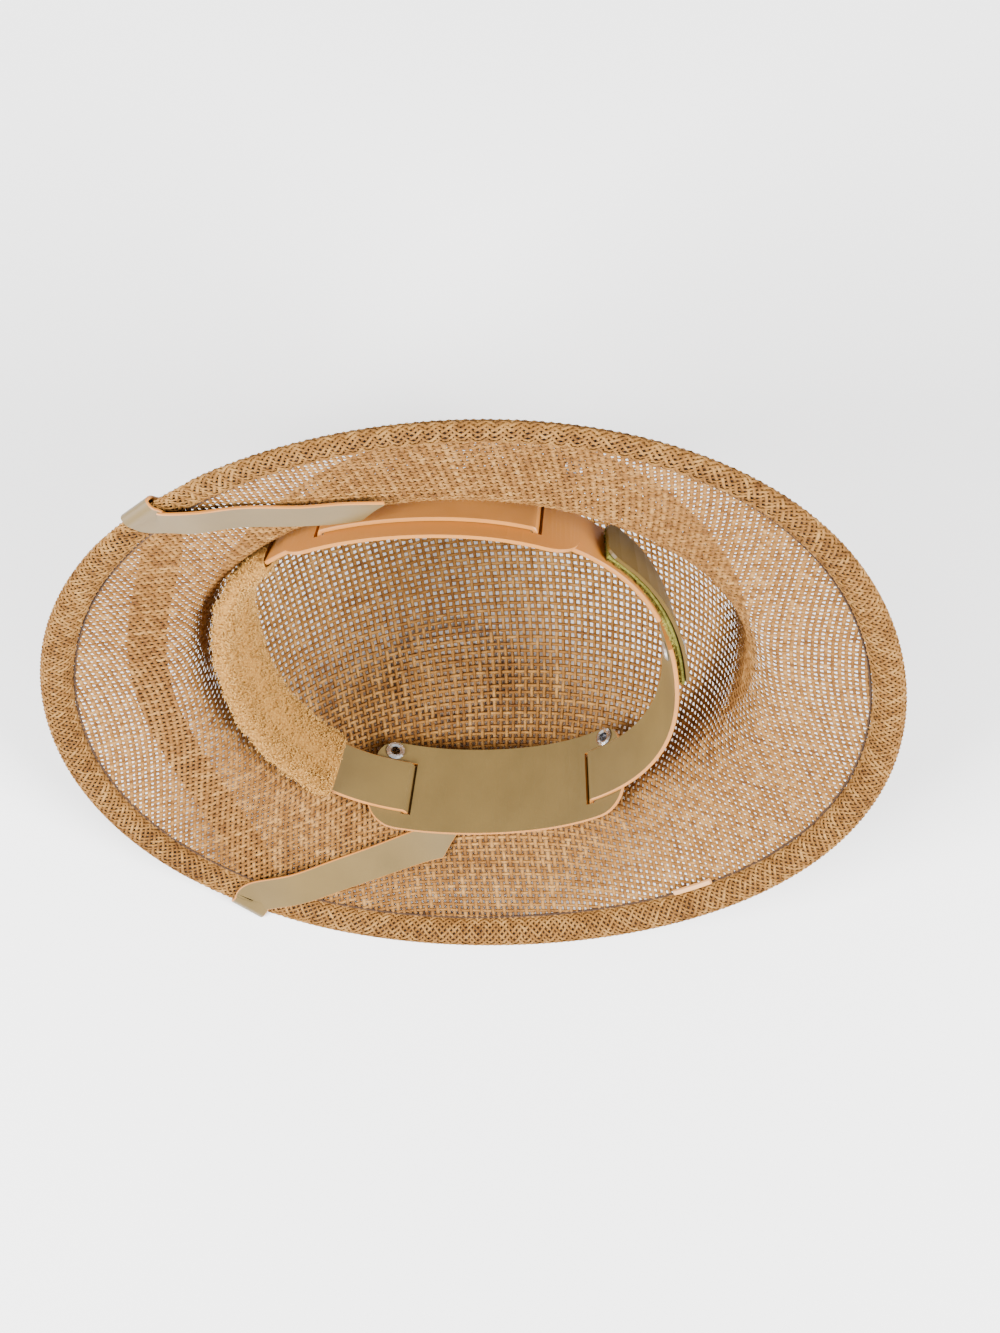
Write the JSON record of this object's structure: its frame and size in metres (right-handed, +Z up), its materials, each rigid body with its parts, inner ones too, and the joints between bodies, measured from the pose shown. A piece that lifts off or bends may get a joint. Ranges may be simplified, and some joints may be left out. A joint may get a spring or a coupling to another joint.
{
  "type": "pith helmet",
  "caption": "Open-weave straw sun helmet with a wide oval brim, adjustable plastic head band, towelling sweat pad and chin strap, lying on its side.",
  "frame": {"origin": "on the floor, under the middle of the whole object's box", "axes": "+Z up off the floor, +X along the hat's long axis to its rear end, +Y across it on the floor, away from the opening"},
  "size_m": [0.3473, 0.2189, 0.2349],
  "materials": {
    "woven_straw": "open plain weave of twisted paper yarn, matt",
    "woven_straw_hem": "the same weave, rolled and doubled",
    "reed": "bare reed",
    "khaki_vinyl": "khaki face, peach back and edges, dull",
    "khaki_vinyl_strap": "khaki face, peach back and edges, dull",
    "olive_vinyl": "smooth olive",
    "green_loops": "loop pile",
    "towelling": "terry loops",
    "plated_eyelet": "bright plating",
    "plated_rivet": "satin"
  },
  "bodies": {
    "root": {"woven_body": "woven_straw", "rolled_hem": "woven_straw_hem", "rim_reed": "reed", "head_band": "khaki_vinyl", "side_plate_left": "khaki_vinyl", "side_plate_right": "khaki_vinyl", "closure_tab": "olive_vinyl", "loop_pile": "green_loops", "closure_rivet": "plated_rivet", "sweat_pad": "towelling", "chin_strap": "khaki_vinyl_strap", "eyelet_left_front": "plated_eyelet", "eyelet_left_rear": "plated_eyelet", "eyelet_right_front": "plated_eyelet", "eyelet_right_rear": "plated_eyelet"}
  },
  "joints": []
}
